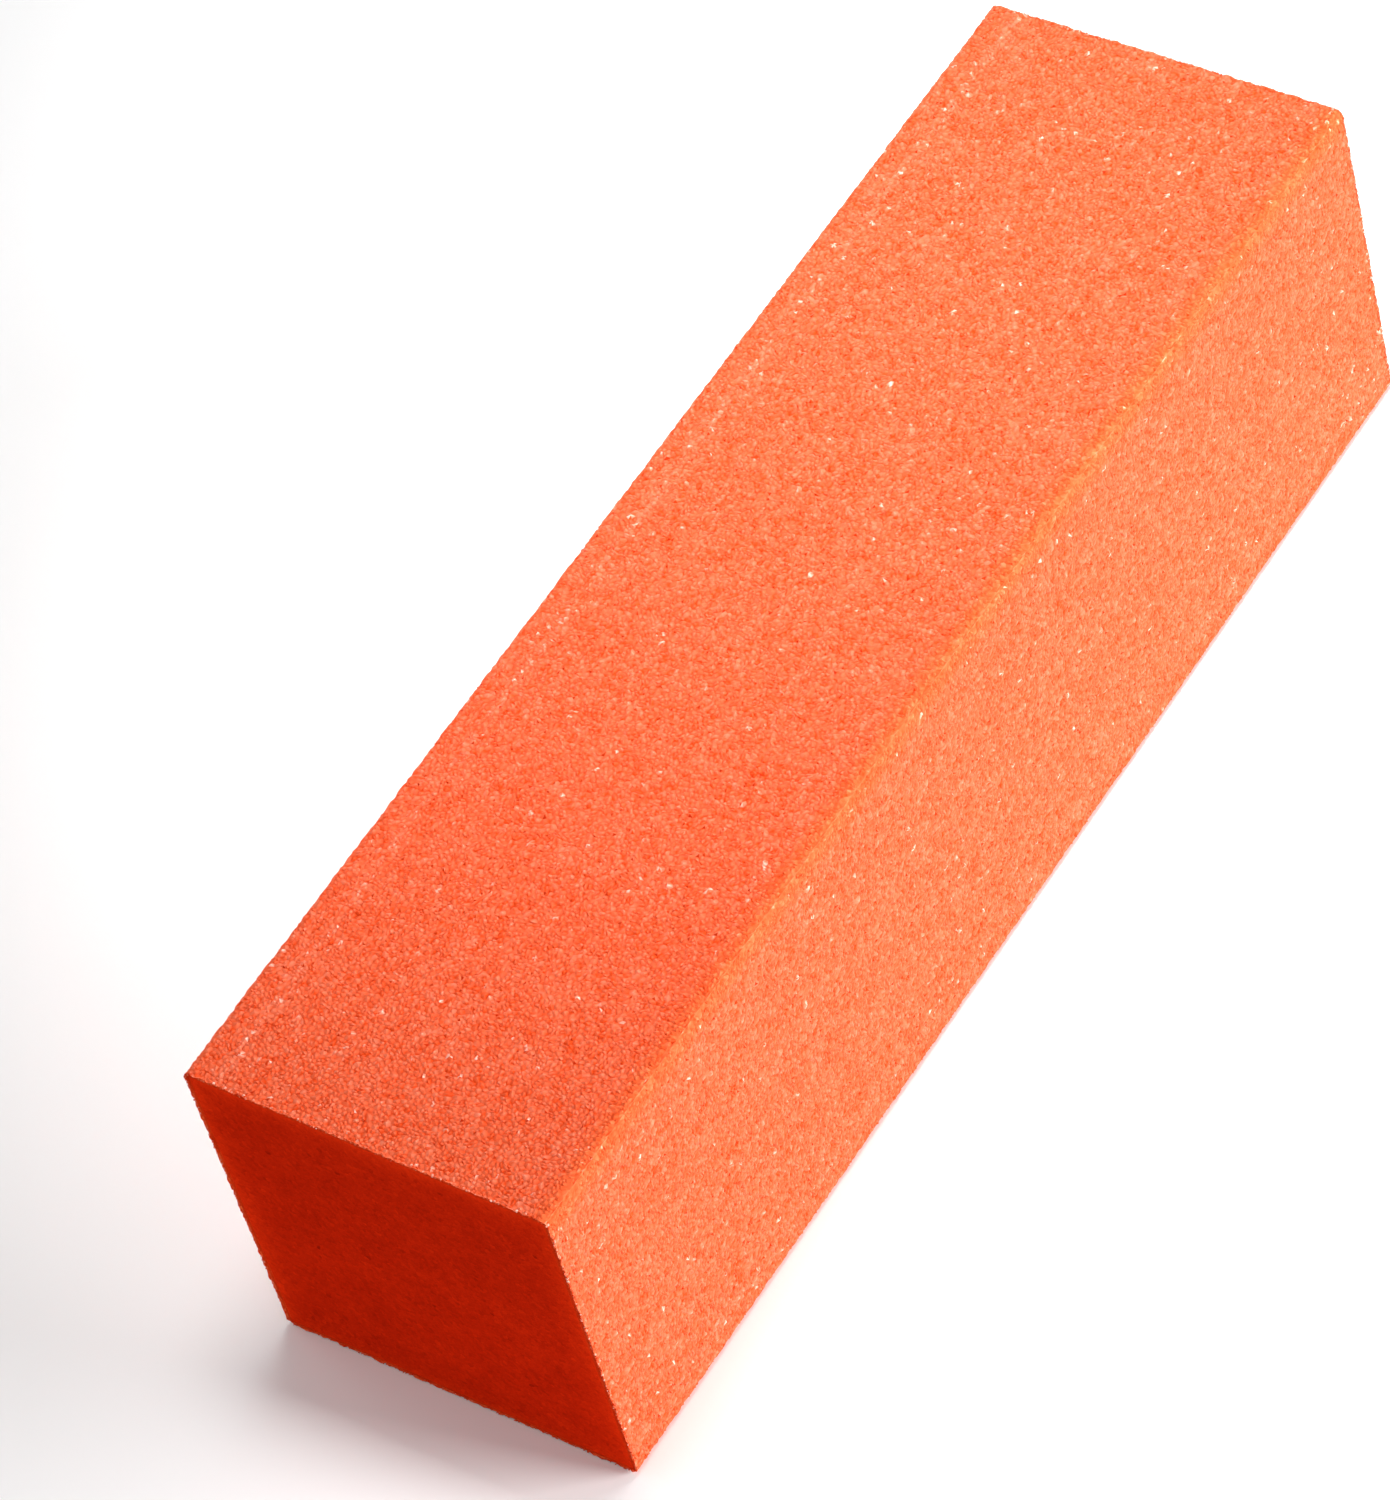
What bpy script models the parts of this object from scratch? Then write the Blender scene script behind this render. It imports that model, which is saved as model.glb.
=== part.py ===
"""Nail buffer block: a foam block with an abrasive coat on each of its four long faces.

Frame, in metres: +X along the block, +Z up, -Y the front, origin at the middle of the underside.

The block is cut from a coated foam bar. Each long face carries two layers of its own, and both
run round half of the rounded edge at each side, where the next face's layers take over:
  bond_coat_*  the thin resin coat that holds the grain
  grit_coat_*  the abrasive grain in its resin, thinner where it rounds the edges
The two ends are bare cut foam.
"""

import math

import bmesh
import bpy

# Driving dimensions, in metres.
BLOCK_LENGTH = 0.0950
BLOCK_SIDE = 0.0266
GRIT_THICKNESS = 0.00024
GRIT_EDGE_THICKNESS = 0.00020
BOND_THICKNESS = 0.00010
FOAM_EDGE_RADIUS = 0.00010

# Glued faces are kept this far apart. The layers are too thin for a wider gap.
GLUE_GAP = 0.00005

# Each rounded edge of the foam has this many flats, an even number, so that two coats meet
# at its middle.
EDGE_FLATS = 8

FOAM_SIDE = BLOCK_SIDE - 2 * (GRIT_THICKNESS + BOND_THICKNESS + 2 * GLUE_GAP)
FLAT_HALF_WIDTH = FOAM_SIDE / 2 - FOAM_EDGE_RADIUS

# Each coated face, and how far the top face turns about the block's long axis to reach it.
FACES = {"top": 0, "front": 90, "bottom": 180, "back": 270}

# Colour, roughness and metallic of each material.
MATERIALS = {
    "foam": ((0.60, 0.018, 0.003), 0.90, 0.0),
    "bond_resin": ((0.74, 0.040, 0.006), 0.65, 0.0),
    "abrasive": ((0.72, 0.13, 0.050), 0.62, 0.0),
}


def clear_scene():
    """Remove whatever the open file holds."""
    for obj in list(bpy.data.objects):
        bpy.data.objects.remove(obj, do_unlink=True)


def make_material(name):
    """A Principled material with this material's colour, roughness and metallic value."""
    colour, roughness, metallic = MATERIALS[name]
    material = bpy.data.materials.new(name)
    material.use_nodes = True
    shader = material.node_tree.nodes["Principled BSDF"]
    shader.inputs["Base Color"].default_value = (*colour, 1.0)
    shader.inputs["Roughness"].default_value = roughness
    shader.inputs["Metallic"].default_value = metallic
    return material


def arc(centre, radius, start_deg, end_deg, flats):
    """Points (y, z) along an arc, both ends included."""
    points = []
    for step in range(flats + 1):
        angle = math.radians(start_deg + (end_deg - start_deg) * step / flats)
        y = centre[0] + radius * math.cos(angle)
        z = centre[1] + radius * math.sin(angle)
        points.append((y, z))
    return points


def foam_outline():
    """The foam's cross-section about the block's axis: a square with four rounded corners."""
    outline = []
    for corner in range(4):
        middle = math.radians(45 + 90 * corner)
        centre = (
            math.copysign(FLAT_HALF_WIDTH, math.cos(middle)),
            math.copysign(FLAT_HALF_WIDTH, math.sin(middle)),
        )
        outline += arc(centre, FOAM_EDGE_RADIUS, 90 * corner, 90 * (corner + 1), EDGE_FLATS)
    return outline


def half_edge(radius, edge_radius):
    """Half of the right rounded edge, from just short of its middle up to the flat.

    The distance from the edge's centre goes from edge_radius to radius. The start is trimmed
    so that the next face's coat has room.
    """
    points = []
    trim = math.degrees(GLUE_GAP / 2 / edge_radius)
    flats = EDGE_FLATS // 2
    for step in range(flats + 1):
        share = step / flats
        reach = edge_radius + (radius - edge_radius) * share
        angle = math.radians(45 + trim + (45 - trim) * share)
        y = FLAT_HALF_WIDTH + reach * math.cos(angle)
        z = FLAT_HALF_WIDTH + reach * math.sin(angle)
        points.append((y, z))
    return points


def coat_outline(inner, thickness, edge_thickness):
    """A top coat's cross-section, over the flat and round half of each rounded edge.

    inner is how far its underside is from the edges' centres.
    """
    outer_right = half_edge(inner + thickness, inner + edge_thickness)
    inner_right = half_edge(inner, inner)
    outer_left = [(-y, z) for y, z in reversed(outer_right)]
    inner_left = [(-y, z) for y, z in reversed(inner_right)]
    return outer_right + outer_left + (inner_right + inner_left)[::-1]


def bar(name, outline, material, turn_deg=0):
    """A bar of this cross-section along the block, turned about the block's long axis."""
    bm = bmesh.new()
    end = [bm.verts.new((-BLOCK_LENGTH / 2, y, z)) for y, z in outline]
    face = bm.faces.new(end)
    swept = bmesh.ops.extrude_face_region(bm, geom=[face])
    far_end = [item for item in swept["geom"] if isinstance(item, bmesh.types.BMVert)]
    bmesh.ops.translate(bm, vec=(BLOCK_LENGTH, 0, 0), verts=far_end)
    bmesh.ops.recalc_face_normals(bm, faces=bm.faces)

    mesh = bpy.data.meshes.new(name)
    bm.to_mesh(mesh)
    bm.free()
    mesh.materials.append(material)
    mesh.shade_smooth()
    mesh.set_sharp_from_angle(angle=math.radians(30))

    obj = bpy.data.objects.new(name, mesh)
    obj.location = (0, 0, BLOCK_SIDE / 2)
    obj.rotation_euler = (math.radians(turn_deg), 0, 0)
    bpy.context.scene.collection.objects.link(obj)
    return obj


def main():
    clear_scene()
    materials = {name: make_material(name) for name in MATERIALS}
    bond_inner = FOAM_EDGE_RADIUS + GLUE_GAP
    grit_inner = bond_inner + BOND_THICKNESS + GLUE_GAP
    bond_outline = coat_outline(bond_inner, BOND_THICKNESS, BOND_THICKNESS)
    grit_outline = coat_outline(grit_inner, GRIT_THICKNESS, GRIT_EDGE_THICKNESS)
    bar("foam_core", foam_outline(), materials["foam"])
    for side, turn_deg in FACES.items():
        bar(f"bond_coat_{side}", bond_outline, materials["bond_resin"], turn_deg)
        bar(f"grit_coat_{side}", grit_outline, materials["abrasive"], turn_deg)


main()
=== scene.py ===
import math

import bpy
import numpy as np
from mathutils import Matrix, Vector
from mathutils.geometry import delaunay_2d_cdt


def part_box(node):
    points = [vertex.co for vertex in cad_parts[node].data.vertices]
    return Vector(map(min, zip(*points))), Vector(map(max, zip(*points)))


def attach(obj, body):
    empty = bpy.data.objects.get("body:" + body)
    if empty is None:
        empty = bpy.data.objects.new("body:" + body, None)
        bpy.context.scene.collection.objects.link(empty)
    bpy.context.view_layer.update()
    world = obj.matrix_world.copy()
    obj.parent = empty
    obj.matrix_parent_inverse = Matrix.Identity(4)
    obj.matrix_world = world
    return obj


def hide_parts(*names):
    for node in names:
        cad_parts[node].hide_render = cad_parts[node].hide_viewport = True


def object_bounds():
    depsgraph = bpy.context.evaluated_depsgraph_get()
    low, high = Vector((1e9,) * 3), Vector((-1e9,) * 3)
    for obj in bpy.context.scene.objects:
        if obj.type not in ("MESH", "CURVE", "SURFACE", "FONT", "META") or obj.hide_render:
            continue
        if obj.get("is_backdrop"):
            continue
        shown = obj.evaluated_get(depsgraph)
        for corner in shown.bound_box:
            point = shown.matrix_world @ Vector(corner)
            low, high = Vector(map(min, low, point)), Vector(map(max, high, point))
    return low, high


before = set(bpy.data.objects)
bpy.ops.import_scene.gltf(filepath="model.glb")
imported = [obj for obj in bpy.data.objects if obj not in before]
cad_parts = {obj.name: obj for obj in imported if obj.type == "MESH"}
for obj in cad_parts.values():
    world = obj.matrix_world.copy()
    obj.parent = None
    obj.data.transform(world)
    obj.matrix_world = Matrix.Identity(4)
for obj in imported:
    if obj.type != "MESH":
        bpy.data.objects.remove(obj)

MM = 0.001

CAD_LOW, CAD_HIGH = (np.array(corner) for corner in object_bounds())

# The block's long axis runs along X at this height.
AXIS_Z = (CAD_LOW[2] + CAD_HIGH[2]) / 2
HALF_LENGTH = CAD_HIGH[0]

# Each coated face, and how far the top face turns about the long axis to reach it. A face's
# right edge is the left edge of the one after it.
FACES = {"top": 0, "front": 90, "bottom": 180, "back": 270}

# Heights of the top face's layers from the long axis, and the centre of its rounded edges.
FOAM_EDGE_RADIUS = 0.10 * MM
GLUE_GAP = 0.05 * MM
FOAM_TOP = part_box("foam_core")[1].z - AXIS_Z
BOND_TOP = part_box("bond_coat_top")[1].z - AXIS_Z
GRIT_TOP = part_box("grit_coat_top")[1].z - AXIS_Z
FLAT_HALF_WIDTH = FOAM_TOP - FOAM_EDGE_RADIUS

# The same heights from the edges' centres. The resin film fills the gaps that glued solids
# keep, but for a hair.
HAIR = 0.005 * MM
BOND_BASE = FOAM_EDGE_RADIUS + HAIR
GRIT_BASE = BOND_TOP - FLAT_HALF_WIDTH + GLUE_GAP
BOND_TIP = GRIT_BASE - HAIR
GRIT_TIP = GRIT_TOP - FLAT_HALF_WIDTH
GRIT_EDGE_TIP = GRIT_TIP - 0.04 * MM

# A coat is laid out flat at this reach, then wrapped round half of each edge.
WRAP_REACH = (GRIT_BASE + GRIT_TIP) / 2
WRAP_HALF_WIDTH = FLAT_HALF_WIDTH + WRAP_REACH * math.pi / 4

# The grain, and how far its end walls sit inside the beads that overhang the cut.
GRAIN_PITCH = 0.29 * MM
GRIT_END_INSET = 0.11 * MM
BEAD_PITCH = 0.15 * MM

# The cut foam's cells, and how far the foam and the resin film sit inside the beads.
CELL_PITCH = 0.26 * MM
FOAM_END_INSET = 0.13 * MM
BOND_END_INSET = 0.12 * MM

# Random points keep this far from a bed's border, in pitches.
BORDER_ROOM = 0.4

# How much resin shows along each long edge, and how strong the pale rubbed line beside it is.
# Edge k is the right edge of face k.
EDGE_RESIN = (0.8, 0.12, 0.5, 0.0)
EDGE_RUB = (0.25, 0.7, 0.4, 1.0)
RUB_DISTANCE = 2.1 * MM
RUB_WIDTH = 0.30 * MM

# How far the resin shows from the edge, on the face to its left and on the one to its right.
RESIN_REACH_LEFT = 1.5 * MM
RESIN_REACH_RIGHT = 2.1 * MM

# Sizes of the patterns in the grain: groups of high grains, clumps and blotches of tone, and
# stretches where the rubbed line is stronger.
GROUP_SIZE = 0.6 * MM
CLUMP_SIZE = 1.3 * MM
BLOTCH_SIZE = 2.4 * MM
RUB_STRETCH = 2.2 * MM

# The distances over which wear fades: along the block, where it also adds painted glints near the
# ends, at the two cuts, and from the corners.
END_WEAR_AND_GLINTS = 9 * MM
CUT_WEAR = 0.15 * MM
CORNER_WEAR = 1.0 * MM

# How far grains, and the gaps between them, stand out, as a share of the coat's thickness: the
# least, what chance adds at most, and what their group adds at most.
GRAIN_RISE = (0.56, 0.30, 0.14)
GAP_RISE = (0.24, 0.26, 0.14)

# The grain's tones, from 0, deep, to 1, pale: the usual one and its spread, what a tip or a gap
# adds at most, what a full rubbed line adds, and the spread between a grain's facets. A gap's
# deeper tone is partly thicker resin and partly painted shade.
GRAIN_TONE = 0.49
GRAIN_TONE_SPREAD = 0.055
TIP_TONE = 0.29
GAP_TONE_AND_SHADE = -0.33
RUB_TONE = 0.12
FACET_TONE_SPREAD = 0.045

# A bare grain glints from this share of its facets, which get a pale tone: a painted highlight. A
# facet is dark if its draw, from 0 to 1, is above DARK_FROM: painted shade, as of a deep pit.
GLINT_SHARE = 0.55
GLINT_TONES = (0.64, 0.95)
DARK_FROM = 0.991
DARK_TONES = (0.0, 0.22)

# The loose grains at the cuts: their radius, in mm, and the tones of bare ones and of the others.
BEAD_RADII = (0.045, 0.118)
BARE_BEAD_TONES = (0.75, 0.95)
COATED_BEAD_TONES = (0.28, 0.62)

# The foam's usual tone, its spread, and the tone and share of its open cells; their darker tone is
# painted shade in the pores.
FOAM_TONE = 0.42
FOAM_TONE_SPREAD = 0.055
OPEN_CELL_SHADE_TONE = 0.15
OPEN_CELL_SHARE = 0.0015

# The margin of the flat layout that colours are baked on.
MAP_MARGIN = 0.01
MAP_WIDTH = 1 - 2 * MAP_MARGIN

SEED = 20


def smoothstep(low, high, value):
    t = np.clip((value - low) / (high - low), 0.0, 1.0)
    return t * t * (3 - 2 * t)


def soft_noise(points, wavelength, rng, waves=24):
    """Smooth noise from 0 to 1 over 2-D points: a sum of plane waves about this long."""
    total = np.zeros(len(points))
    for _ in range(waves):
        angle = rng.uniform(0, 2 * math.pi)
        length = wavelength * rng.uniform(0.7, 1.8)
        direction = np.array([math.cos(angle), math.sin(angle)]) * (2 * math.pi / length)
        total += np.sin(points @ direction + rng.uniform(0, 2 * math.pi))
    return 0.5 + 0.5 * np.tanh(total / math.sqrt(waves))


# ---------------------------------------------------------------- beds of grains or cells


def scattered(half_size, pitch, rng):
    """Random points over a rectangle about the origin, about pitch apart and never crowded."""
    counts = np.round(2 * half_size / pitch).astype(int)
    grid = np.stack(np.meshgrid(*(np.arange(n) for n in counts), indexing="ij"), -1)
    points = (grid + rng.uniform(0, 1, grid.shape)) * (2 * half_size / counts) - half_size
    keep = np.ones(counts, bool)
    for step_x, step_y in ((1, 0), (0, 1), (1, 1), (1, -1)):
        here = (slice(0, counts[0] - step_x), slice(max(0, -step_y), counts[1] - max(0, step_y)))
        there = (slice(step_x, None), slice(max(0, step_y), counts[1] + min(0, step_y)))
        apart = np.linalg.norm(points[there] - points[here], axis=-1)
        crowded = keep[here] & keep[there] & (apart < 0.5 * pitch)
        keep[there] &= ~crowded
    return points[keep]


class Bed:
    """A sheet of cells: one for each site, around which the low points of the bed lie.

    The sites are triangulated. Each triangle holds one low point, and two low points next to
    each other make a facet with each of the two sites between them.
    """

    def __init__(self, border, inner, rng):
        sites = np.concatenate([border, inner])
        flat = [Vector(site / MM) for site in sites]
        result = delaunay_2d_cdt(flat, [], [list(range(len(border)))], 1, 1e-9)
        order = np.array([sources[0] for sources in result[3]])
        cells = order[np.array(result[2])]
        a, b, c = (sites[cells[:, k]] for k in range(3))
        turned_over = np.cross(b - a, c - a) < 0
        cells[turned_over] = cells[turned_over][:, ::-1]

        weights = rng.uniform(0.22, 0.45, cells.shape)
        weights /= weights.sum(1, keepdims=True)
        lows = (sites[cells] * weights[:, :, None]).sum(1)
        self.site_count = len(sites)
        self.border_count = len(border)
        self.points = np.concatenate([sites, lows])

        start = cells.ravel()
        end = np.roll(cells, -1, 1).ravel()
        low = len(sites) + np.repeat(np.arange(len(cells)), 3)
        code = np.minimum(start, end) * len(sites) + np.maximum(start, end)
        by_code = np.argsort(code, kind="stable")
        matched = code[by_code][1:] == code[by_code][:-1]
        first, second = by_code[:-1][matched], by_code[1:][matched]
        single = np.setdiff1d(np.arange(len(code)), np.concatenate([first, second]))
        self.facets = np.concatenate(
            [
                np.stack([start[first], low[second], low[first]], 1),
                np.stack([end[first], low[first], low[second]], 1),
                np.stack([start[single], end[single], low[single]], 1),
            ]
        )

    def owners(self):
        """Each facet's site."""
        return self.facets[:, 0]


def make_piece(name, node, vertices, faces, material):
    """A faceted mesh object that rides on the block and stands for one CAD node."""
    mesh = bpy.data.meshes.new(name)
    mesh.from_pydata(vertices, [], faces)
    mesh.validate()
    mesh.materials.append(material)
    piece = bpy.data.objects.new(name, mesh)
    bpy.context.scene.collection.objects.link(piece)
    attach(piece, "root")
    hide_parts(node)
    return piece


def store(mesh, name, domain, values):
    """Keep one number for each point or face, for the material to read."""
    layer = mesh.attributes.new(name, "FLOAT", domain)
    layer.data.foreach_set("value", np.asarray(values, np.float32))


def store_map(mesh, blocks):
    """Give the mesh the flat layout that its colours can be baked on, block by block."""
    layer = mesh.uv_layers.new(name="OFBake")
    layer.data.foreach_set("uv", np.concatenate(blocks).astype(np.float32).ravel())


def placed(u, v, left, low, width, height):
    """Corners whose u and v go from 0 to 1, in a rectangle of the flat layout."""
    return np.stack([left + width * u, low + height * v], 1)


def quad_strip(count, low, height):
    """The corners of a ring of quads, each from its upper far corner, laid out as a strip."""
    start = np.arange(count)[:, None] / count
    u = start + np.array([1, 0, 0, 1]) / count
    v = np.tile([1, 1, 0, 0], count)
    return placed(u.ravel(), v, MAP_MARGIN, low, MAP_WIDTH, height)


def wrapped(x, across, reach, turn_deg):
    """Points of a coat, from its flat layout to its place on a face.

    across runs over the face and round half of each edge, and reach is the distance from the
    edges' centres.
    """
    side = np.sign(across)
    angle = np.maximum(np.abs(across) - FLAT_HALF_WIDTH, 0.0) / WRAP_REACH
    level = np.clip(across, -FLAT_HALF_WIDTH, FLAT_HALF_WIDTH) + side * reach * np.sin(angle)
    height = FLAT_HALF_WIDTH + reach * np.cos(angle)
    turn = math.radians(turn_deg)
    y = level * math.cos(turn) - height * math.sin(turn)
    z = AXIS_Z + level * math.sin(turn) + height * math.cos(turn)
    return np.stack(np.broadcast_arrays(x, y, z), 1)


# ---------------------------------------------------------------- materials


class Nodes:
    """A short way to write a node tree."""

    def __init__(self, name):
        self.material = bpy.data.materials.new(name)
        self.material.use_nodes = True
        self.tree = self.material.node_tree
        self.shader = self.tree.nodes["Principled BSDF"]

    def add(self, kind, **settings):
        node = self.tree.nodes.new(kind)
        for key, value in settings.items():
            setattr(node, key, value)
        return node

    def link(self, source, target):
        self.tree.links.new(source, target)

    def attribute(self, name):
        return self.add("ShaderNodeAttribute", attribute_name=name).outputs["Fac"]

    def position(self):
        return self.add("ShaderNodeTexCoord").outputs["Object"]

    def noise(self, size, detail=2.0):
        """Noise from 0 to 1 whose features are about this size, in metres."""
        node = self.add("ShaderNodeTexNoise")
        node.inputs["Scale"].default_value = 1 / size
        node.inputs["Detail"].default_value = detail
        self.link(self.position(), node.inputs["Vector"])
        return node.outputs["Fac"]

    def math(self, operation, first, second, clamp=False):
        node = self.add("ShaderNodeMath", operation=operation, use_clamp=clamp)
        for socket, value in zip(node.inputs, (first, second)):
            if isinstance(value, (int, float)):
                socket.default_value = value
            else:
                self.link(value, socket)
        return node.outputs[0]

    def ranged(self, value, from_low, from_high, low, high):
        node = self.add("ShaderNodeMapRange")
        for key, number in (
            ("From Min", from_low),
            ("From Max", from_high),
            ("To Min", low),
            ("To Max", high),
        ):
            node.inputs[key].default_value = number
        self.link(value, node.inputs["Value"])
        return node.outputs["Result"]

    def ramp(self, value, stops):
        """Colour by value; stops are (position, colour)."""
        node = self.add("ShaderNodeValToRGB")
        elements = node.color_ramp.elements
        while len(elements) < len(stops):
            elements.new(0.5)
        for element, (position, colour) in zip(elements, stops):
            element.position = position
            element.color = (*colour, 1.0)
        self.link(value, node.inputs["Fac"])
        return node.outputs["Color"]

    def mix(self, factor, first, second):
        node = self.add("ShaderNodeMix", data_type="RGBA")
        for socket, value in (
            (node.inputs["Factor"], factor),
            (node.inputs["A"], first),
            (node.inputs["B"], second),
        ):
            if isinstance(value, tuple):
                socket.default_value = (*value, 1.0)
            else:
                self.link(value, socket)
        return node.outputs["Result"]

    def bump(self, height, distance, strength):
        node = self.add("ShaderNodeBump")
        node.inputs["Distance"].default_value = distance
        node.inputs["Strength"].default_value = strength
        self.link(height, node.inputs["Height"])
        self.link(node.outputs["Normal"], self.shader.inputs["Normal"])

    def set(self, name, value):
        self.shader.inputs[name].default_value = value


def grit_material():
    """Mineral grain in orange resin: deep in the gaps, partly as painted shade, paler at the tips,
    a few bare and with painted glints.
    """
    n = Nodes("abrasive_grit")
    patches = n.ranged(n.noise(2.0 * MM), 0.3, 0.7, -0.012, 0.012)
    fine = n.ranged(n.noise(0.16 * MM), 0.3, 0.7, -0.03, 0.03)
    # Tips are paler and gaps deeper; the gaps' deeper tone is partly painted shade.
    own = n.math("ADD", n.attribute("tone"), n.attribute("tip_tone_and_gap_shade"))
    tone = n.math("ADD", own, n.math("ADD", patches, fine), clamp=True)
    grain = n.ramp(
        tone,
        [
            (0.00, (0.44, 0.022, 0.002)),
            (0.25, (0.67, 0.056, 0.008)),
            (0.50, (0.72, 0.116, 0.047)),
            (0.75, (0.78, 0.194, 0.108)),
            (1.00, (0.88, 0.57, 0.47)),
        ],
    )
    film = n.ramp(
        tone,
        [
            (0.00, (0.54, 0.036, 0.003)),
            (0.50, (0.72, 0.104, 0.028)),
            (0.75, (0.78, 0.180, 0.065)),
            (1.00, (0.88, 0.54, 0.40)),
        ],
    )
    n.link(n.mix(n.attribute("resin"), grain, film), n.shader.inputs["Base Color"])
    n.link(n.ranged(n.attribute("bare"), 0.0, 1.0, 0.62, 0.28), n.shader.inputs["Roughness"])
    n.bump(n.noise(0.10 * MM), 0.01 * MM, 0.4)
    n.set("Specular IOR Level", 0.05)
    return n.material


def bond_material():
    """Cured resin where it is cut: deep red-orange and matt, paler towards the grain, partly as
    painted light under the beads.
    """
    n = Nodes("bond_resin")
    patches = n.ranged(n.noise(1.6 * MM), 0.3, 0.7, -0.15, 0.15)
    fine = n.ranged(n.noise(0.15 * MM), 0.3, 0.7, -0.12, 0.12)
    base = n.math("ADD", n.attribute("tone"), 0.4)
    tone = n.math("ADD", base, n.math("ADD", patches, fine), clamp=True)
    colour = n.ramp(
        tone,
        [
            (0.00, (0.50, 0.014, 0.002)),
            (0.50, (0.74, 0.040, 0.006)),
            (1.00, (0.88, 0.120, 0.035)),
        ],
    )
    n.link(colour, n.shader.inputs["Base Color"])
    n.link(n.ranged(n.noise(0.4 * MM), 0.3, 0.7, 0.55, 0.75), n.shader.inputs["Roughness"])
    n.bump(n.noise(0.11 * MM), 0.01 * MM, 0.4)
    n.set("Specular IOR Level", 0.0)
    return n.material


def foam_material():
    """Cut foam: deep red-orange, matt, a little brighter where light soaks in at the rim."""
    n = Nodes("cut_foam")
    patches = n.ranged(n.noise(3.0 * MM), 0.3, 0.7, -0.06, 0.06)
    fine = n.ranged(n.noise(0.16 * MM), 0.3, 0.7, -0.08, 0.08)
    rim = n.ranged(n.attribute("rim"), 0.0, 1.0, 0.0, 0.42)
    tone = n.math("ADD", n.attribute("tone"), n.math("ADD", patches, fine))
    colour = n.ramp(
        n.math("ADD", tone, rim, clamp=True),
        [
            (0.00, (0.30, 0.008, 0.001)),
            (0.45, (0.59, 0.0170, 0.0024)),
            (1.00, (0.90, 0.036, 0.0045)),
        ],
    )
    n.link(colour, n.shader.inputs["Base Color"])
    n.link(n.ranged(n.noise(0.3 * MM), 0.3, 0.7, 0.82, 0.96), n.shader.inputs["Roughness"])
    n.bump(n.noise(0.12 * MM), 0.01 * MM, 0.3)
    n.set("Specular IOR Level", 0.0)
    return n.material


def floor_material():
    """Plain pale paper."""
    n = Nodes("pale_floor")
    shade = n.ranged(n.noise(0.05, 3.0), 0.3, 0.7, 0.0, 1.0)
    n.link(n.mix(shade, (0.94, 0.94, 0.94), (0.96, 0.96, 0.96)), n.shader.inputs["Base Color"])
    n.set("Roughness", 0.9)
    n.set("Specular IOR Level", 0.0)
    return n.material


# ---------------------------------------------------------------- the grit coats


class Edge:
    """What the two coats that meet along one long edge share, so that no line shows there."""

    def __init__(self, number):
        rng = np.random.default_rng([SEED, number])
        length = HALF_LENGTH - GRIT_END_INSET
        count = round(2 * length / GRAIN_PITCH)
        self.x = np.linspace(-length, length, count + 1)
        self.x[1:-1] += rng.uniform(-0.3, 0.3, count - 1) * GRAIN_PITCH
        self.share = rng.uniform(0.55, 1.0, count + 1)
        self.tone = rng.normal(0.5, 0.08, count + 1)
        self.resin = EDGE_RESIN[number]
        self.rub = EDGE_RUB[number]


def grit_border(left, right, rng):
    """The border of a coat's flat layout, anticlockwise from its low corner."""
    length = HALF_LENGTH - GRIT_END_INSET
    count = round(2 * WRAP_HALF_WIDTH / GRAIN_PITCH)
    across = np.linspace(-WRAP_HALF_WIDTH, WRAP_HALF_WIDTH, count + 1)
    across[1:-1] += rng.uniform(-0.3, 0.3, count - 1) * GRAIN_PITCH
    seam = np.full(len(right.x), WRAP_HALF_WIDTH)
    lower = np.stack([right.x, -seam], 1)
    upper = np.stack([left.x, seam], 1)[::-1]
    far = np.stack([np.full(count - 1, length), across[1:-1]], 1)
    near = np.stack([np.full(count - 1, -length), across[1:-1]], 1)[::-1]
    return np.concatenate([lower, far, upper, near]), across


class GritSheet(Bed):
    """One face's grain laid out flat, and where each of its points is on the face.

    left and right are the long edges at +across and -across.
    """

    def __init__(self, left, right, rng):
        border, self.end_across = grit_border(left, right, rng)
        self.half_size = np.array([HALF_LENGTH - GRIT_END_INSET, WRAP_HALF_WIDTH])
        inner = scattered(self.half_size, GRAIN_PITCH, rng)
        room = (self.half_size - np.abs(inner)).min(1)
        super().__init__(border, inner[room > BORDER_ROOM * GRAIN_PITCH], rng)
        self.left, self.right = left, right
        self.count = len(self.points)
        self.is_site = np.arange(self.count) < self.site_count
        self.end_gap, self.edge_gap = (self.half_size - np.abs(self.points)).T
        columns = len(left.x)
        self.right_seam = np.arange(columns)
        self.left_seam = columns + len(self.end_across) - 2 + np.arange(columns)[::-1]

    def by_edge(self, name):
        """The left edge's value on the left half of the face, and the right edge's elsewhere."""
        on_left = self.points[:, 1] > 0
        return np.where(on_left, getattr(self.left, name), getattr(self.right, name))

    def with_seams(self, values, name):
        """Put in what the two edges hold for the points on the seams."""
        values[self.right_seam] = getattr(self.right, name)
        values[self.left_seam] = getattr(self.left, name)
        return values


def rise(least_and_gains, chance, groups):
    """How far points stand out, by chance and by their group, both given from 0 to 1."""
    least, by_chance, by_group = least_and_gains
    return least + by_chance * chance + by_group * groups


def grain_reach(sheet, rng, groups):
    """How far each point is from the edges' centres. Grains stand above the gaps."""
    high = rise(GRAIN_RISE, rng.beta(2.0, 2.0, sheet.count), groups)
    low = rise(GAP_RISE, rng.beta(1.5, 2.0, sheet.count), groups)
    share = sheet.with_seams(np.where(sheet.is_site, high, low), "share")
    turned = (np.abs(sheet.points[:, 1]) - FLAT_HALF_WIDTH) / WRAP_REACH / (math.pi / 4)
    tip = GRIT_TIP + (GRIT_EDGE_TIP - GRIT_TIP) * np.clip(turned, 0, 1)
    return GRIT_BASE + (tip - GRIT_BASE) * share


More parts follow.
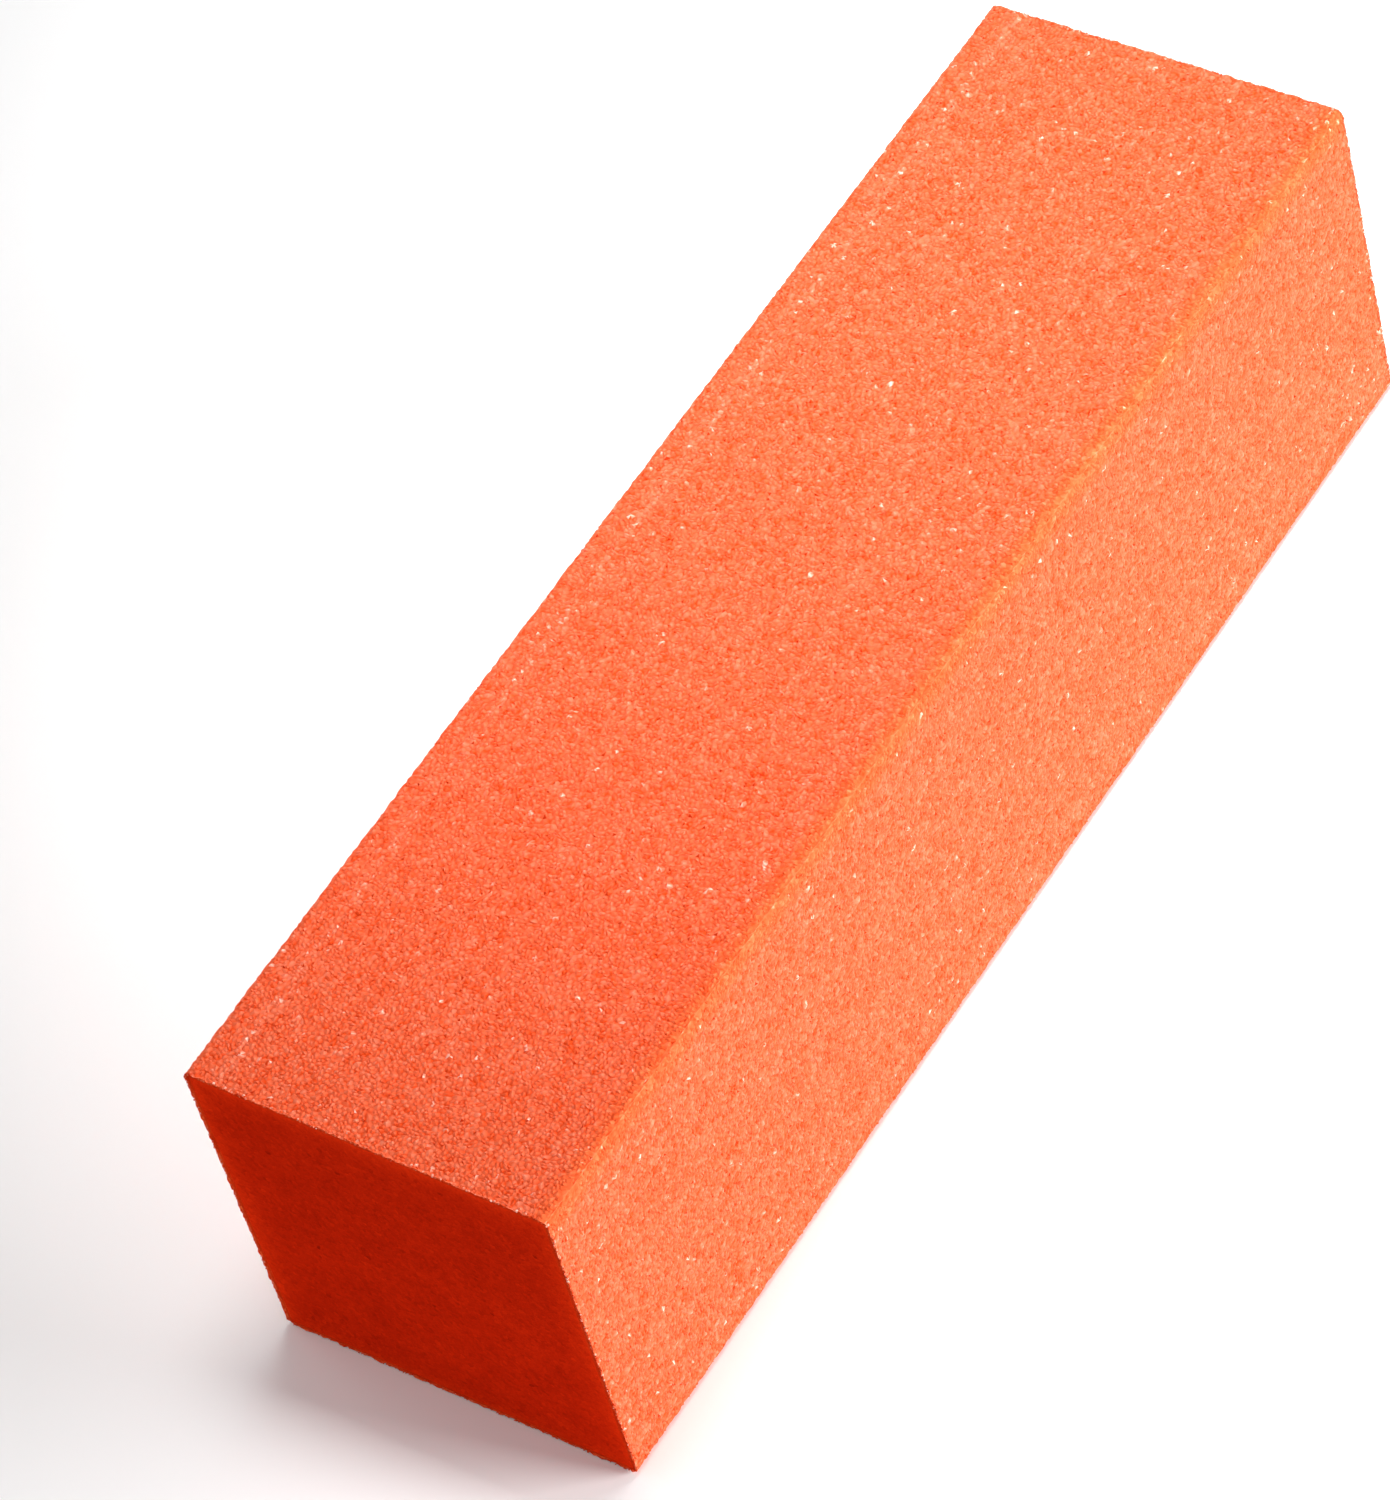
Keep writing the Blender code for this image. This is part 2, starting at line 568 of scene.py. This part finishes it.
def ragged_ends(sheet, rng):
    """Each point's x, uneven along the two cut ends but for the corners."""
    x = sheet.points[:, 0].copy()
    ragged = (sheet.end_gap < 0.1 * GRAIN_PITCH) & (sheet.edge_gap > 0)
    x[ragged] -= np.sign(x[ragged]) * rng.uniform(-0.09, 0.06, ragged.sum()) * MM
    return x


def grain_looks(sheet, rng, clumps):
    """Each point's own tone, how its height changes it, whether it is bare, and its resin. A
    deeper gap is partly thicker resin and partly painted shade.

    Grains are paler along the rubbed lines. More are bare there, near the ends and at the
    corners. A bare grain's glinting facets are painted highlights, and the extra bare grains near
    the ends add painted glints there.
    """
    blotch = soft_noise(sheet.points, BLOTCH_SIZE, rng)
    stretch = soft_noise(sheet.points * [1, 0], RUB_STRETCH, rng)
    near_end = np.exp(-sheet.end_gap / END_WEAR_AND_GLINTS)
    from_line = np.abs(sheet.edge_gap - RUB_DISTANCE) / RUB_WIDTH
    rub = np.exp(-(from_line**2)) * sheet.by_edge("rub")
    rub *= 0.35 + 0.65 * stretch + 0.5 * near_end
    from_corner = np.hypot(sheet.end_gap, sheet.edge_gap)
    worn = np.exp(-sheet.end_gap / CUT_WEAR) + 0.6 * np.exp(-from_corner / CORNER_WEAR)

    tone = rng.normal(GRAIN_TONE, GRAIN_TONE_SPREAD, sheet.count)
    tone = tone + 0.02 * (blotch - 0.5) + 0.03 * (clumps - 0.5) + RUB_TONE * rub
    tone = sheet.with_seams(tone, "tone")
    contrast = rng.beta(0.9, 2.4, sheet.count)
    # A tip adds a paler tone, a gap a deeper one that is partly painted shade.
    tip_tone_and_gap_shade = np.where(sheet.is_site, TIP_TONE * contrast, GAP_TONE_AND_SHADE * contrast)
    # The share of bare grains, whose glinting facets are painted highlights. Near the ends it adds
    # more painted glints; along the rubbed lines and at worn cuts and corners it is wear.
    bare_share = 0.007 + 0.016 * near_end + 0.08 * rub + 0.06 * worn
    bare = rng.uniform(0, 1, sheet.count) < bare_share

    resin_reach = np.where(sheet.points[:, 1] > 0, RESIN_REACH_RIGHT, RESIN_REACH_LEFT)
    resin_gap = (sheet.edge_gap + rng.normal(0, 0.15 * MM, sheet.count)) / resin_reach
    resin = smoothstep(1.0, 0.3, resin_gap) * sheet.by_edge("resin")
    return tone, tip_tone_and_gap_shade, bare, resin


def facet_looks(sheet, rng, tone, bare):
    """Each facet's tone, and whether it glints.

    Glinting facets get a pale tone, a painted highlight, and a few dark ones painted shade.
    """
    owners = sheet.owners()
    count = len(owners)
    draw = rng.uniform(0, 1, count)
    glint = bare[owners] & (draw < GLINT_SHARE)
    facet_tone = tone[owners] + rng.normal(0, FACET_TONE_SPREAD, count)
    # Glinting facets get a pale tone: a painted highlight.
    facet_tone = np.where(glint, rng.uniform(*GLINT_TONES, count), facet_tone)
    # Dark facets: painted shade, as of deep pits.
    facet_tone = np.where(draw > DARK_FROM, rng.uniform(*DARK_TONES, count), facet_tone)
    return facet_tone, glint


def coat_vertices(sheet, x, reach, turn_deg):
    """The bed's points in place, then the middle and the lower row of the border wall.

    The underside runs straight from one end to the other, and each seam is trimmed a little.
    """
    across = sheet.points[:, 1]
    border = sheet.points[: sheet.border_count]
    trim = GLUE_GAP / 2 * WRAP_REACH / GRIT_BASE
    limit = sheet.half_size - np.array([0.02 * MM, trim])
    base_x, base_across = np.clip(border, -limit, limit).T
    middle_x = (x[: len(border)] + base_x) / 2
    middle_across = (border[:, 1] + base_across) / 2
    middle_reach = (reach[: len(border)] + GRIT_BASE) / 2
    return np.concatenate(
        [
            wrapped(x, across, reach, turn_deg),
            wrapped(middle_x, middle_across, middle_reach, turn_deg),
            wrapped(base_x, base_across, np.full(len(border), GRIT_BASE), turn_deg),
        ]
    )


def border_walls(sheet):
    """The two rows of quads down a coat's border, from its grain to its underside."""
    loop = np.arange(sheet.border_count)
    ahead = np.roll(loop, -1)
    middle = sheet.count + loop
    under = middle + len(loop)
    upper = np.stack([ahead, loop, middle, middle[ahead]], 1)
    lower = np.stack([middle[ahead], middle, under, under[ahead]], 1)
    return upper, lower


def underside(sheet):
    """A coat's underside, by border points: strips along the block, and a fan at each seam."""
    loop_size, ends = sheet.border_count, len(sheet.end_across)
    right_seam, left_seam = sheet.right_seam, sheet.left_seam
    far = len(right_seam) - 1 + np.arange(ends)
    near = np.concatenate([[0], np.arange(loop_size - 1, loop_size - ends, -1)])
    near[-1] = left_seam[0]
    strips = np.stack([near[:-1], near[1:], far[1:], far[:-1]], 1)[1 : ends - 2]
    fans = fan(right_seam, near[1], far[1]) + fan(left_seam, near[-2], far[-2], True)
    return strips, np.array(fans)


def coat_map(sheet, strips, fans):
    """A coat's flat layout: the grain in two halves, one above the other, and strips."""
    along, over = (sheet.points / sheet.half_size).T
    corner = sheet.facets.ravel()
    far_half = np.repeat(along[sheet.owners()] > 0, 3)
    grain_u = along[corner] + 1 - far_half + 0.02 * far_half
    grain_v = (over[corner] + 1) / 2 + 1.02 * far_half
    low_corner = np.concatenate([strips.ravel(), fans.ravel()])
    low_u, low_v = (along[low_corner] + 1) / 2, (over[low_corner] + 1) / 2
    return [
        placed(grain_u, grain_v, MAP_MARGIN, 0.01, 0.95, 0.45),
        quad_strip(sheet.border_count, 0.932, 0.006),
        quad_strip(sheet.border_count, 0.942, 0.006),
        placed(low_u, low_v, MAP_MARGIN, 0.952, MAP_WIDTH, 0.016),
    ]


def grit_coat(side, turn_deg, left, right, materials, seed):
    """One face's abrasive: a closed coat whose outer side is a bed of faceted grains.

    materials are the grain's and that of the resin where the coat is cut.
    """
    rng = np.random.default_rng(seed)
    sheet = GritSheet(left, right, rng)
    clumps = soft_noise(sheet.points, CLUMP_SIZE, rng)
    groups = soft_noise(sheet.points, GROUP_SIZE, rng)
    reach = grain_reach(sheet, rng, groups)
    x = ragged_ends(sheet, rng)
    tone, tip_tone_and_gap_shade, bare, resin = grain_looks(sheet, rng, clumps)
    facet_tone, glint = facet_looks(sheet, rng, tone, bare)

    vertices = coat_vertices(sheet, x, reach, turn_deg)
    upper_wall, lower_wall = border_walls(sheet)
    strips, fans = underside(sheet)
    under = sheet.count + sheet.border_count
    plain_faces = (upper_wall, lower_wall, under + strips, under + fans)
    bead_points, bead_faces, bead_tone, bead_bare, bead_map = beads(turn_deg, len(vertices), rng)
    blocks = (sheet.facets, *plain_faces, bead_faces)
    piece = make_piece(
        f"grit_{side}",
        f"grit_coat_{side}",
        np.concatenate([vertices, bead_points]),
        [face for block in blocks for face in block.tolist()],
        materials[0],
    )
    mesh = piece.data
    mesh.materials.append(materials[1])

    # The cut walls vary from deep to pale, and are deeper lower down. The upper row's pale tones
    # are partly the cut grain and partly painted light that lifts the shadow under the beads.
    plain = sum(len(block) for block in plain_faces)
    upper_tone = rng.uniform(-0.1, 0.9, len(upper_wall))
    lower_tone = 0.9 * rng.beta(0.7, 2.0, plain - len(upper_wall))
    tones = np.concatenate([facet_tone, upper_tone, lower_tone, bead_tone])
    is_resin = np.repeat([0, 1, 0], [len(facet_tone), plain, len(bead_faces)])
    mesh.polygons.foreach_set("material_index", is_resin.astype(np.int32))
    store(mesh, "tone", "FACE", tones)
    store(mesh, "bare", "FACE", np.concatenate([glint, np.zeros(plain), bead_bare]))
    beyond = np.zeros(len(mesh.vertices) - sheet.count)
    store(mesh, "resin", "POINT", np.concatenate([resin, beyond]))
    store(mesh, "tip_tone_and_gap_shade", "POINT", np.concatenate([tip_tone_and_gap_shade, beyond]))
    store_map(mesh, [*coat_map(sheet, strips, fans), bead_map])
    return piece


def fan(seam, near, far, flipped=False):
    """Triangles between a seam's points, in order of x, and two points at the ends."""
    half = len(seam) // 2
    faces = []
    for k in range(len(seam) - 1):
        faces.append([seam[k], near if k < half else far, seam[k + 1]])
    faces.append([seam[half], near, far])
    return [face[::-1] if flipped else face for face in faces]


def beads(turn_deg, first, rng):
    """Loose grains that overhang the two cuts, as small irregular solids.

    More of them are bare at the coat's outer side, where depth is 0.
    """
    corners, sides = icosahedron()
    count = round(2 * WRAP_HALF_WIDTH / BEAD_PITCH)
    points, tones, bares = [], [], []
    for end in (-1, 1):
        for k in range(count):
            size = rng.uniform(*BEAD_RADII) * MM
            across = ((k + rng.uniform(-0.5, 1.5)) / count * 2 - 1) * WRAP_HALF_WIDTH
            across = np.clip(across, -WRAP_HALF_WIDTH + 2 * size, WRAP_HALF_WIDTH - 2 * size)
            tip = GRIT_TIP if abs(across) < FLAT_HALF_WIDTH else GRIT_EDGE_TIP
            room = max(tip - GRIT_BASE - 2 * size, 0.0)
            depth = rng.uniform(0, 1)
            reach = tip - size - room * depth
            middle = end * (HALF_LENGTH - size * rng.uniform(1.0, 2.2))
            shape = corners * size * rng.uniform(0.72, 1.0, (len(corners), 1))
            x = np.clip(middle + shape[:, 0], -HALF_LENGTH, HALF_LENGTH)
            points.append(wrapped(x, across + shape[:, 1], reach + shape[:, 2], turn_deg))
            bare = rng.uniform(0, 1) < 0.04 + 0.26 * (1 - depth)
            tones.append(rng.uniform(*(BARE_BEAD_TONES if bare else COATED_BEAD_TONES)))
            bares.append(float(bare))
    start = first + len(corners) * np.arange(len(points))
    faces = (sides + start[:, None, None]).reshape(-1, 3)

    # Each bead has a slot of the layout: its outer half, with its inner half above it.
    corner = sides.ravel()
    inner_half = np.repeat(corners[sides].mean(1)[:, 2] < 0, 3)
    slot = np.arange(len(points))[:, None]
    u = (slot + 0.5 + 0.4 * corners[corner, 1]) / len(points)
    v = np.broadcast_to(0.25 + 0.2 * corners[corner, 0] + 0.5 * inner_half, u.shape)
    layout = placed(u.ravel(), v.ravel(), MAP_MARGIN, 0.972, MAP_WIDTH, 0.026)
    per_bead = len(sides)
    return (
        np.concatenate(points),
        faces,
        np.repeat(tones, per_bead),
        np.repeat(bares, per_bead),
        layout,
    )


def icosahedron():
    """The corners and faces of an icosahedron of radius 1."""
    golden = (1 + math.sqrt(5)) / 2
    corners = []
    for a in (-1, 1):
        for b in (-golden, golden):
            corners += [(a, b, 0), (0, a, b), (b, 0, a)]
    corners = np.array(corners) / math.hypot(1, golden)
    side = min(np.linalg.norm(corners[0] - corner) for corner in corners[1:])
    near = np.linalg.norm(corners[:, None] - corners[None], axis=-1) < side * 1.01
    faces = []
    for i in range(12):
        for j in range(i + 1, 12):
            for k in range(j + 1, 12):
                if near[i, j] and near[j, k] and near[i, k]:
                    normal = np.cross(corners[j] - corners[i], corners[k] - corners[i])
                    outward = normal @ corners[i] > 0
                    faces.append([i, j, k] if outward else [i, k, j])
    return corners, np.array(faces)


# ---------------------------------------------------------------- the bond coats


def bond_coat(side, turn_deg, material, seed):
    """One face's resin film, uneven where its two ends show."""
    rng = np.random.default_rng(seed)
    end = HALF_LENGTH - BOND_END_INSET
    stations = (-end, -end + 0.5 * MM, end - 0.5 * MM, end)
    trim = GLUE_GAP / 2 * WRAP_REACH / BOND_BASE / 2
    columns = round(2 * WRAP_HALF_WIDTH / (0.2 * MM))
    across = np.linspace(-WRAP_HALF_WIDTH + trim, WRAP_HALF_WIDTH - trim, columns + 1)
    rings = []
    for x in stations:
        outer = BOND_TIP - rng.uniform(0.0, 0.02, columns + 1) * MM
        inner = BOND_BASE + rng.uniform(0.0, 0.01, columns + 1) * MM
        ragged = np.full(columns + 1, x)
        if abs(x) == end:
            ragged -= np.sign(x) * rng.uniform(-0.02, 0.02, columns + 1) * MM
        rings.append(
            np.concatenate(
                [
                    wrapped(ragged, across, outer, turn_deg),
                    wrapped(ragged, across, inner, turn_deg)[::-1],
                ]
            )
        )
    size = len(rings[0])
    faces = []
    for ring in range(len(rings) - 1):
        for k in range(size):
            a, b = ring * size + k, ring * size + (k + 1) % size
            faces.append([a, a + size, b + size, b])
    for first, flipped in ((0, False), ((len(rings) - 1) * size, True)):
        for k in range(columns):
            face = [first + k, first + k + 1, first + size - 2 - k, first + size - 1 - k]
            faces.append(face[::-1] if flipped else face)
    piece = make_piece(
        f"bond_{side}",
        f"bond_coat_{side}",
        np.concatenate(rings),
        faces,
        material,
    )
    heights = ((0.01, 0.015), (0.03, 0.90), (0.935, 0.015))
    runs = [quad_strip(size, low, height) for low, height in heights]
    near_cap = quad_strip(columns, 0.955, 0.015)
    far_cap = quad_strip(columns, 0.975, 0.015)
    store_map(piece.data, [*runs, near_cap, far_cap])
    return piece


# ---------------------------------------------------------------- the foam


def foam_section():
    """The foam's rounded square outline about its axis, anticlockwise."""
    points = []
    steps = round(2 * FLAT_HALF_WIDTH / CELL_PITCH)
    for corner in range(4):
        turn = math.radians(90 * corner)
        line = np.linspace(-FLAT_HALF_WIDTH, FLAT_HALF_WIDTH, steps + 1)
        for y in line:
            points.append((turn, y, FOAM_EDGE_RADIUS, 0.0))
        for k in (1, 2, 3):
            points.append((turn, FLAT_HALF_WIDTH, FOAM_EDGE_RADIUS, k * math.pi / 8))
    turn, y, radius, angle = np.array(points).T
    side = y + radius * np.sin(angle)
    out = FLAT_HALF_WIDTH + radius * np.cos(angle)
    across = side * np.cos(turn) + out * np.sin(turn)
    up = side * np.sin(turn) - out * np.cos(turn)
    return np.stack([across, up], 1)


def foam_core(material, seed):
    """The foam block: two cut ends of fine cells, joined by plain sides under the coats."""
    rng = np.random.default_rng(seed)
    outline = foam_section()
    half = np.array([FOAM_TOP, FOAM_TOP])
    vertices, faces, tones, rims, layout = [], [], [], [], []
    for end in (-1, 1):
        inner = scattered(half, CELL_PITCH, rng)
        gap = (half - np.abs(inner)).min(1)
        corner = np.hypot(*np.maximum(np.abs(inner) - FLAT_HALF_WIDTH, 0.0).T)
        inner = inner[(gap > BORDER_ROOM * CELL_PITCH) & (corner < FOAM_EDGE_RADIUS * 0.6)]
        bed = Bed(outline, inner, rng)
        count = len(bed.points)
        is_site = np.arange(count) < bed.site_count
        draw = rng.uniform(0, 1, count)
        depth = np.where(is_site, rng.uniform(0.010, 0.024, count), rng.uniform(0.0, 0.010, count))
        open_cell = is_site & (draw < OPEN_CELL_SHARE)
        depth = np.where(open_cell, 0.045, depth) * MM
        depth[: bed.border_count] = 0.0
        x = np.full(count, HALF_LENGTH - FOAM_END_INSET) - depth
        gap = FOAM_TOP - np.abs(bed.points).max(1)
        first = sum(len(block) for block in vertices)
        y = bed.points[:, 0]
        vertices.append(np.stack([end * x, y, AXIS_Z + bed.points[:, 1]], 1))
        facets = bed.facets if end > 0 else bed.facets[:, ::-1]
        faces += (facets + first).tolist()
        corner = (bed.points[facets.ravel()] / FOAM_TOP + 1) / 2
        layout.append(placed(*corner.T, 0.26 + 0.25 * end, 0.01, 0.48, 0.48))
        tone = rng.normal(FOAM_TONE, FOAM_TONE_SPREAD, count)
        # Open cells get a darker tone: painted shade in the pores.
        tone = np.where(open_cell, OPEN_CELL_SHADE_TONE, tone)
        tones.append(tone[bed.owners()])
        rims.append(np.exp(-gap / (0.9 * MM)))
    count = len(outline)
    offset = len(vertices[0])
    near = np.arange(count)
    ahead = np.roll(near, -1)
    sides = np.stack([near, ahead, ahead + offset, near + offset], 1)
    faces += sides.tolist()
    tones.append(np.full(count, FOAM_TONE))
    piece = make_piece(
        "foam_block", "foam_core", np.concatenate(vertices), faces, material
    )
    store(piece.data, "tone", "FACE", np.concatenate(tones))
    store(piece.data, "rim", "POINT", np.concatenate(rims))
    store_map(piece.data, [*layout, quad_strip(count, 0.51, 0.48)])
    return piece


def build_floor():
    bpy.ops.mesh.primitive_plane_add(size=6.0, location=(0, 0, 0))
    floor = bpy.context.object
    floor.name = "floor"
    floor.data.materials.append(floor_material())
    floor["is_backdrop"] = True


# ---------------------------------------------------------------- camera and light


# The view: a long lens, close by, above the near right edge and rolled a little.
CAMERA_AZIMUTH_DEG = -44.24
CAMERA_ELEVATION_DEG = 49.18
CAMERA_ROLL_DEG = -17.38
CAMERA_AIM = Vector((-14.21, -2.51, 26.75)) * MM
CAMERA_DISTANCE = 419.5 * MM
CAMERA_LENS = 179.7


def place_camera():
    azimuth = math.radians(CAMERA_AZIMUTH_DEG)
    elevation = math.radians(CAMERA_ELEVATION_DEG)
    roll = math.radians(CAMERA_ROLL_DEG)
    data = bpy.data.cameras.new("camera")
    data.sensor_fit = "HORIZONTAL"
    data.sensor_width = 36.0
    data.lens = CAMERA_LENS
    data.clip_start = 0.01
    camera = bpy.data.objects.new("camera", data)
    turn = (
        Matrix.Rotation(azimuth, 4, "Z")
        @ Matrix.Rotation(math.pi / 2 - elevation, 4, "X")
        @ Matrix.Rotation(roll, 4, "Z")
    )
    back = turn.to_3x3() @ Vector((0, 0, 1))
    camera.matrix_world = Matrix.Translation(CAMERA_AIM + back * CAMERA_DISTANCE) @ turn
    bpy.context.scene.collection.objects.link(camera)
    bpy.context.scene.camera = camera


def soft_light(name, azimuth_deg, elevation_deg, distance, size, level, aim_x=0.0, spread_deg=180):
    """A square soft box turned to the block. Azimuth 0 is in front, 90 at the +X end.

    level is how bright a white surface that faces the light looks by this light alone. A
    spread of less than 180 degrees is that of a grid over the box.
    """
    azimuth, elevation = math.radians(azimuth_deg), math.radians(elevation_deg)
    direction = Vector(
        (
            math.sin(azimuth) * math.cos(elevation),
            -math.cos(azimuth) * math.cos(elevation),
            math.sin(elevation),
        )
    )
    data = bpy.data.lights.new(name, "AREA")
    data.shape = "SQUARE"
    data.size = size
    data.energy = level * (math.pi * distance) ** 2
    if spread_deg < 180:
        half_spread = math.radians(spread_deg / 2)
        data.spread = 2 * half_spread
        data.energy *= 1 - half_spread / math.tan(half_spread)
    light = bpy.data.objects.new(name, data)
    light.location = Vector((aim_x, 0, AXIS_Z)) + direction * distance
    light.rotation_euler = direction.to_track_quat("Z", "Y").to_euler()
    light.visible_camera = False
    bpy.context.scene.collection.objects.link(light)


def build_light():
    world = bpy.data.worlds.new("studio")
    world.use_nodes = True
    background = world.node_tree.nodes["Background"]
    background.inputs["Color"].default_value = (1.0, 1.0, 1.0, 1.0)
    background.inputs["Strength"].default_value = 0.42
    bpy.context.scene.world = world
    soft_light(
        "key_front", azimuth_deg=20, elevation_deg=11, distance=0.60, size=0.30, level=2.12
    )
    soft_light(
        "overhead",
        azimuth_deg=90,
        elevation_deg=90,
        distance=0.22,
        size=0.09,
        level=2.35,
        aim_x=0.03,
        spread_deg=50,
    )
    soft_light(
        "back_fill", azimuth_deg=185, elevation_deg=30, distance=0.80, size=0.60, level=0.2
    )


place_camera()
build_light()
build_floor()
scene = bpy.context.scene
scene.view_settings.view_transform = "Standard"

foam_core(foam_material(), SEED + 1)
edges = [Edge(number) for number in range(len(FACES))]
grit, bond = grit_material(), bond_material()
for number, (side, turn_deg) in enumerate(FACES.items()):
    bond_coat(side, turn_deg, bond, SEED + 10 + number)
    coat_seed = SEED + 20 + number
    grit_coat(side, turn_deg, edges[number - 1], edges[number], (grit, bond), coat_seed)
